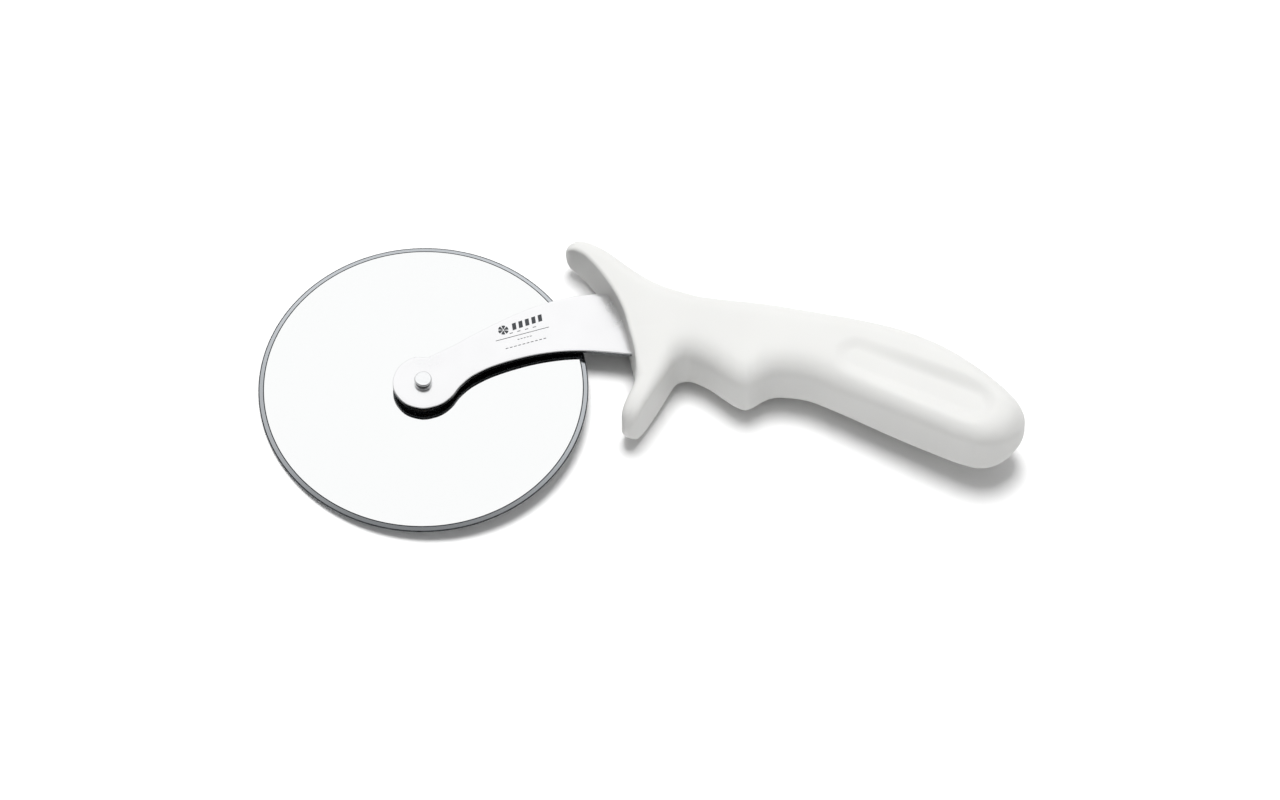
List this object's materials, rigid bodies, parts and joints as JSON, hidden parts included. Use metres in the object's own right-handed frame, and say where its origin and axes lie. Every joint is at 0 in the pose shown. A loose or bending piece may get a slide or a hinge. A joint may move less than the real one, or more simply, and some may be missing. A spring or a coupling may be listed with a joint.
{
  "type": "pastry cutter wheel",
  "caption": "Hand-held rolling cutter: a thin round blade turns on a rivet below a one-sided bent arm, with a guarded, finger-grooved moulded handle.",
  "frame": {"origin": "centre of the wheel, halfway through the blade's thickness, on the axle", "axes": "+X from the wheel to the handle, +Z along the axle from the blade to the arm, +Y in the blade's plane towards the thumb side of the handle"},
  "size_m": [0.2319, 0.1, 0.0249],
  "materials": {
    "blade_steel": "mirror-polished stainless steel with a ground bevel",
    "arm_steel": "polished stainless steel strap",
    "rivet_steel": "stainless steel, peened at the top end",
    "washer_steel": "plain stainless steel",
    "bush_bronze": "turned bearing bronze",
    "handle_plastic": "white polypropylene with a fine moulded grain"
  },
  "bodies": {
    "tool": {"arm": "arm_steel", "handle": "handle_plastic", "axle_rivet": "rivet_steel", "spacer_washer": "washer_steel", "head_washer": "washer_steel"},
    "wheel": {"blade_wheel": "blade_steel", "wheel_bush": "bush_bronze"}
  },
  "joints": [
    {"name": "wheel_spin", "type": "hinge", "parent": "tool", "child": "wheel", "pos_m": [0, 0, 0], "axis": [0, 0, 1], "continuous": true}
  ]
}
